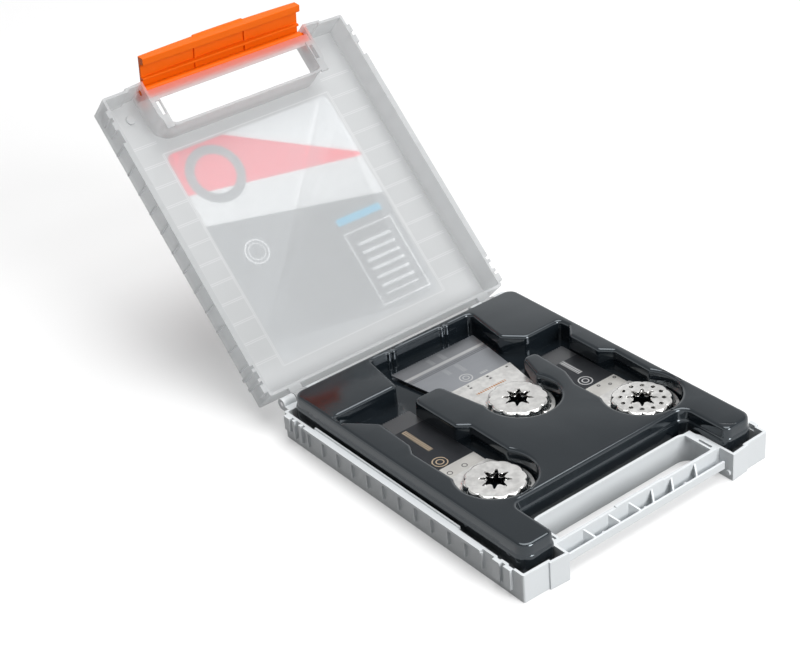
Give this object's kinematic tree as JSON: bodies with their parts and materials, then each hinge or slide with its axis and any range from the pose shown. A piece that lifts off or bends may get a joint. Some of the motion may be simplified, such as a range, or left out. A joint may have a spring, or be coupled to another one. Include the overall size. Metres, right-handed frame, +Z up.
{
  "type": "saw blade storage case",
  "caption": "Flat hinged storage case with a frosted lid, a carrying handle, a front latch and a formed tray holding stacks of oscillating saw blades.",
  "frame": {"origin": "middle of the base's underside, on the surface it rests on", "axes": "+X to the right across the case, +Y from the handle towards the hinge, +Z up"},
  "size_m": [0.1884, 0.3957, 0.1865],
  "materials": {
    "shell_grey": "satin moulded, cool light grey",
    "lid_frosted": "frosted translucent grey",
    "latch_orange": "smooth orange",
    "pin_steel": "plain drawn",
    "label_print": "printed film",
    "tray_black": "formed, glossy",
    "blade_steel": "ground",
    "blade_tempered": "bluish tempered",
    "strip_steel": "bare ground edge"
  },
  "bodies": {
    "base": {"base_shell": "shell_grey", "hinge_pin_left": "pin_steel", "hinge_pin_right": "pin_steel"},
    "lid": {"lid_shell": "lid_frosted", "label_sheet": "label_print"},
    "latch": {"latch": "latch_orange"},
    "tray": {"blade_tray": "tray_black"},
    "wide_lower_blade": {"wide_lower_plate": "blade_tempered", "wide_lower_strip": "strip_steel", "wide_lower_hub": "blade_steel"},
    "wide_upper_blade": {"wide_upper_plate": "blade_tempered", "wide_upper_strip": "strip_steel", "wide_upper_hub": "blade_steel"},
    "left_lower_blade": {"left_lower_plate": "blade_tempered", "left_lower_strip": "strip_steel", "left_lower_hub": "blade_steel"},
    "left_upper_blade": {"left_upper_plate": "blade_tempered", "left_upper_strip": "strip_steel", "left_upper_hub": "blade_steel"},
    "right_lower_blade": {"right_lower_plate": "blade_tempered", "right_lower_strip": "strip_steel", "right_lower_hub": "blade_steel"},
    "right_upper_blade": {"right_upper_plate": "blade_tempered", "right_upper_strip": "strip_steel", "right_upper_hub": "blade_steel"}
  },
  "joints": [
    {"name": "lid_hinge", "type": "hinge", "parent": "base", "child": "lid", "pos_m": [0, 0.1111, 0.0177], "axis": [1, 0, 0], "range_deg": [0, 136]},
    {"name": "latch_hinge", "type": "hinge", "parent": "lid", "child": "latch", "pos_m": [0, 0.27155, 0.1625], "axis": [1, 0, 0], "range_deg": [-45, 38]},
    {"name": "tray_lift", "type": "slide", "parent": "base", "child": "tray", "axis": [0, 0, 1], "range_m": [0, 0.05]},
    {"name": "wide_lower_lift", "type": "slide", "parent": "tray", "child": "wide_lower_blade", "axis": [0, 0, 1], "range_m": [0, 0.04]},
    {"name": "wide_upper_lift", "type": "slide", "parent": "wide_lower_blade", "child": "wide_upper_blade", "axis": [0, 0, 1], "range_m": [0, 0.04]},
    {"name": "left_lower_lift", "type": "slide", "parent": "tray", "child": "left_lower_blade", "axis": [0, 0, 1], "range_m": [0, 0.04]},
    {"name": "left_upper_lift", "type": "slide", "parent": "left_lower_blade", "child": "left_upper_blade", "axis": [0, 0, 1], "range_m": [0, 0.04]},
    {"name": "right_lower_lift", "type": "slide", "parent": "tray", "child": "right_lower_blade", "axis": [0, 0, 1], "range_m": [0, 0.04]},
    {"name": "right_upper_lift", "type": "slide", "parent": "right_lower_blade", "child": "right_upper_blade", "axis": [0, 0, 1], "range_m": [0, 0.04]}
  ]
}
